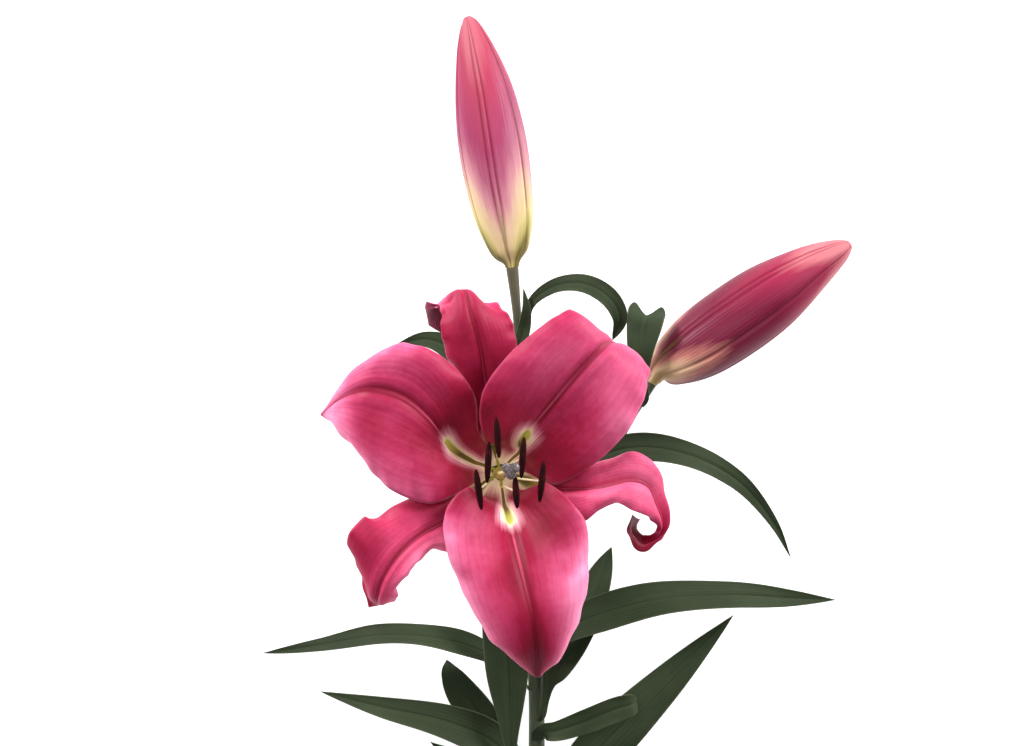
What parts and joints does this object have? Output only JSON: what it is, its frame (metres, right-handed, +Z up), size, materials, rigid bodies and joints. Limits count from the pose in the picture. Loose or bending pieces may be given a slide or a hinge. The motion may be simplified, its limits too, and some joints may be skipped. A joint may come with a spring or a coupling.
{
  "type": "cut lily",
  "caption": "Cut oriental lily lying on its back: an open bloom with six recurved tepals, closed buds on their pedicels, and a leafy stem.",
  "frame": {"origin": "the middle of the lily's outline seen from above, on the surface that it lies on", "axes": "+Y runs along the stem from its cut end to the top bud, +X is to the right of the stem seen from above, +Z is up, the way the bloom faces"},
  "size_m": [0.2691, 0.4191, 0.1199],
  "materials": {
    "petal": "satin crimson-pink petal, pale at the margins",
    "leaf": "satin dark green leaf",
    "filament": "satin pale green",
    "anther": "matt dark maroon",
    "bud": "satin pink, cream-green at the base",
    "stem": "satin green-brown stem",
    "pistil": "satin yellow-green",
    "stigma": "moist grey-purple"
  },
  "bodies": {
    "root": {"anther_1": "anther", "anther_2": "anther", "anther_3": "anther", "anther_4": "anther", "anther_5": "anther", "anther_6": "anther", "bract": "leaf", "bud_right": "bud", "bud_top": "bud", "filament_1": "filament", "filament_2": "filament", "filament_3": "filament", "filament_4": "filament", "filament_5": "filament", "filament_6": "filament", "leaf_01": "leaf", "leaf_02": "leaf", "leaf_03": "leaf", "leaf_04": "leaf", "leaf_05": "leaf", "leaf_06": "leaf", "leaf_07": "leaf", "leaf_08": "leaf", "leaf_09": "leaf", "leaf_10": "leaf", "leaf_11": "leaf", "leaf_12": "leaf", "leaf_13": "leaf", "leaf_14": "leaf", "leaf_15": "leaf", "petal_bottom": "petal", "petal_upper_left": "petal", "petal_upper_right": "petal", "pistil": "pistil", "sepal_lower_left": "petal", "sepal_lower_right": "petal", "sepal_top": "petal", "stem": "stem", "stigma": "stigma"}
  },
  "joints": []
}
